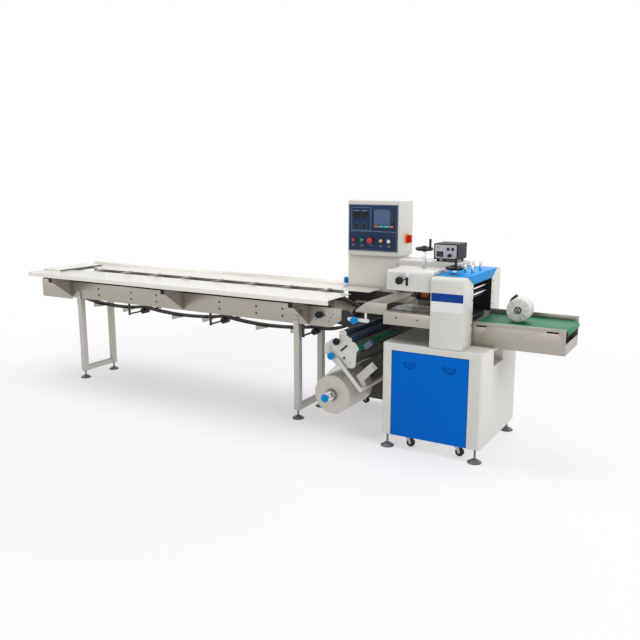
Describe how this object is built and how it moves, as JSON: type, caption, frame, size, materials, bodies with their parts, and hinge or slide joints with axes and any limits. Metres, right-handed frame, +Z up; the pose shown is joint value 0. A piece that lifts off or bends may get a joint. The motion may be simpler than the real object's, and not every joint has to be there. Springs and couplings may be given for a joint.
{
  "type": "horizontal flow wrapper",
  "caption": "Horizontal flow wrapper: long pusher-chain infeed, film roll below, rotary sealing head with blue cover, control box on a column, belt discharge with brush wheel.",
  "frame": {"origin": "middle of the machine's outline seen from above, on the floor under the levelling feet", "axes": "+X with the product, from the infeed to the discharge belt; +Y away from the operator; +Z up"},
  "size_m": [4.1707, 0.846, 1.436],
  "materials": {
    "cream_enamel": "semi-gloss powder coat, warm white",
    "blue_enamel": "gloss enamel, blue",
    "stainless": "brushed sheet",
    "chrome": "ground and plated",
    "dark_steel": "dark oiled steel",
    "zinc_steel": "zinc plated",
    "grey_rubber": "satin",
    "heater_metal": "heat-stained copper alloy",
    "panel_blue": "dark blue membrane face",
    "control_plastic": "push button plastics",
    "yellow_plastic": "matt",
    "red_plastic": "satin",
    "dark_plastic": "fine-grained",
    "black_plastic": "polished bakelite",
    "film": "wound film, silky",
    "core_board": "matt",
    "blue_rubber": "ground rubber",
    "green_rubber": "textured belt",
    "blue_plastic": "satin",
    "white_bristle": "nylon bristles"
  },
  "bodies": {
    "machine": {"base_cabinet": "cream_enamel", "black_knobs": "dark_plastic", "blue_cover": "blue_enamel", "brush_arm": "dark_steel", "caster_plates": "zinc_steel", "chain_channel": "stainless", "chrome_rods": "chrome", "control_box": "cream_enamel", "control_panel": "panel_blue", "conveyor_rollers": "chrome", "discharge_belt": "green_rubber", "discharge_plates": "stainless", "display_box": "dark_plastic", "edge_rails": "dark_plastic", "feed_plate": "cream_enamel", "fin_seal_unit": "dark_steel", "forming_platform": "stainless", "front_panel": "blue_enamel", "guide_knobs": "blue_plastic", "head_front_column": "cream_enamel", "head_rear_column": "cream_enamel", "hood": "cream_enamel", "infeed_chain": "dark_steel", "infeed_leg_frames": "stainless", "infeed_side_plates": "stainless", "infeed_table": "stainless", "levelling_feet": "dark_steel", "main_switch_plate": "yellow_plastic", "nose_cheeks": "dark_steel", "panel_controls": "control_plastic", "pushers": "stainless", "rear_frame": "dark_steel", "rear_housing": "cream_enamel", "seal_heaters": "heater_metal", "sensor_head": "dark_plastic", "table_brackets": "stainless"},
    "caster_swivel_1": {"caster_fork_1": "zinc_steel"},
    "caster_wheel_1": {"caster_wheel_1": "grey_rubber"},
    "caster_swivel_2": {"caster_fork_2": "zinc_steel"},
    "caster_wheel_2": {"caster_wheel_2": "grey_rubber"},
    "caster_swivel_3": {"caster_fork_3": "zinc_steel"},
    "caster_wheel_3": {"caster_wheel_3": "grey_rubber"},
    "caster_swivel_4": {"caster_fork_4": "zinc_steel"},
    "caster_wheel_4": {"caster_wheel_4": "grey_rubber"},
    "film_spool": {"film_shaft": "chrome", "film_roll": "film", "roll_core": "core_board", "shaft_knob": "blue_plastic"},
    "hand_left": {"handwheel_left": "black_plastic"},
    "hand_right": {"handwheel_right": "black_plastic"},
    "upper_jaw": {"upper_jaw": "dark_steel"},
    "lower_jaw": {"lower_jaw": "dark_steel"},
    "press_roller": {"press_roller": "blue_rubber"},
    "rubber_roller": {"rubber_roller": "blue_rubber"},
    "green_roller": {"green_roller": "green_rubber"},
    "guide_roller": {"guide_roller": "chrome"},
    "tension_arm": {"tension_arm": "cream_enamel"},
    "brush_wheel": {"brush_wheel": "white_bristle"},
    "main_switch": {"main_switch_knob": "red_plastic"}
  },
  "joints": [
    {"name": "caster_swivel_1", "type": "hinge", "parent": "machine", "child": "caster_swivel_1", "pos_m": [1.22665, -0.315, 0.081], "axis": [0, 0, 1], "continuous": true},
    {"name": "caster_roll_1", "type": "hinge", "parent": "caster_swivel_1", "child": "caster_wheel_1", "pos_m": [1.24465, -0.315, 0.031], "axis": [0, 1, 0], "continuous": true},
    {"name": "caster_swivel_2", "type": "hinge", "parent": "machine", "child": "caster_swivel_2", "pos_m": [1.53065, -0.315, 0.081], "axis": [0, 0, 1], "continuous": true},
    {"name": "caster_roll_2", "type": "hinge", "parent": "caster_swivel_2", "child": "caster_wheel_2", "pos_m": [1.54865, -0.315, 0.031], "axis": [0, 1, 0], "continuous": true},
    {"name": "caster_swivel_3", "type": "hinge", "parent": "machine", "child": "caster_swivel_3", "pos_m": [1.53065, 0.23, 0.081], "axis": [0, 0, 1], "continuous": true},
    {"name": "caster_roll_3", "type": "hinge", "parent": "caster_swivel_3", "child": "caster_wheel_3", "pos_m": [1.54865, 0.23, 0.031], "axis": [0, 1, 0], "continuous": true},
    {"name": "caster_swivel_4", "type": "hinge", "parent": "machine", "child": "caster_swivel_4", "pos_m": [0.61065, 0.318, 0.081], "axis": [0, 0, 1], "continuous": true},
    {"name": "caster_roll_4", "type": "hinge", "parent": "caster_swivel_4", "child": "caster_wheel_4", "pos_m": [0.62865, 0.318, 0.031], "axis": [0, 1, 0], "continuous": true},
    {"name": "film_spool_turn", "type": "hinge", "parent": "machine", "child": "film_spool", "pos_m": [0.71065, -0.327, 0.247], "axis": [0, 1, 0], "continuous": true},
    {"name": "handwheel_left_turn", "type": "hinge", "parent": "machine", "child": "hand_left", "pos_m": [1.23665, -0.163, 1.162], "axis": [0, 0, 1], "continuous": true},
    {"name": "handwheel_right_turn", "type": "hinge", "parent": "machine", "child": "hand_right", "pos_m": [1.44465, -0.219, 1.068], "axis": [0, 0, 1], "continuous": true},
    {"name": "upper_jaw_turn", "type": "hinge", "parent": "machine", "child": "upper_jaw", "pos_m": [1.46165, -0.047, 0.915], "axis": [0, 1, 0], "continuous": true},
    {"name": "lower_jaw_turn", "type": "hinge", "parent": "machine", "child": "lower_jaw", "pos_m": [1.46165, -0.047, 0.775], "axis": [0, 1, 0], "continuous": true},
    {"name": "press_roller_turn", "type": "hinge", "parent": "machine", "child": "press_roller", "pos_m": [0.78465, -0.325, 0.644], "axis": [0, 1, 0], "continuous": true},
    {"name": "rubber_roller_turn", "type": "hinge", "parent": "machine", "child": "rubber_roller", "pos_m": [0.82665, -0.325, 0.606], "axis": [0, 1, 0], "continuous": true},
    {"name": "green_roller_turn", "type": "hinge", "parent": "machine", "child": "green_roller", "pos_m": [0.87165, -0.325, 0.56], "axis": [0, 1, 0], "continuous": true},
    {"name": "guide_roller_turn", "type": "hinge", "parent": "machine", "child": "guide_roller", "pos_m": [0.79665, -0.325, 0.494], "axis": [0, 1, 0], "continuous": true},
    {"name": "tension_arm_swing", "type": "hinge", "parent": "machine", "child": "tension_arm", "pos_m": [0.91365, -0.327, 0.31], "axis": [0, 1, 0], "range_deg": [0, 20]},
    {"name": "brush_turn", "type": "hinge", "parent": "machine", "child": "brush_wheel", "pos_m": [1.79065, -0.127, 0.851], "axis": [0, 1, 0], "continuous": true},
    {"name": "main_switch_turn", "type": "hinge", "parent": "machine", "child": "main_switch", "pos_m": [0.91165, 0.321, 1.183], "axis": [1, 0, 0], "range_deg": [0, 90]}
  ],
  "couplings": [
    {"joint": "lower_jaw_turn", "follows": "upper_jaw_turn", "ratio": -1}
  ]
}
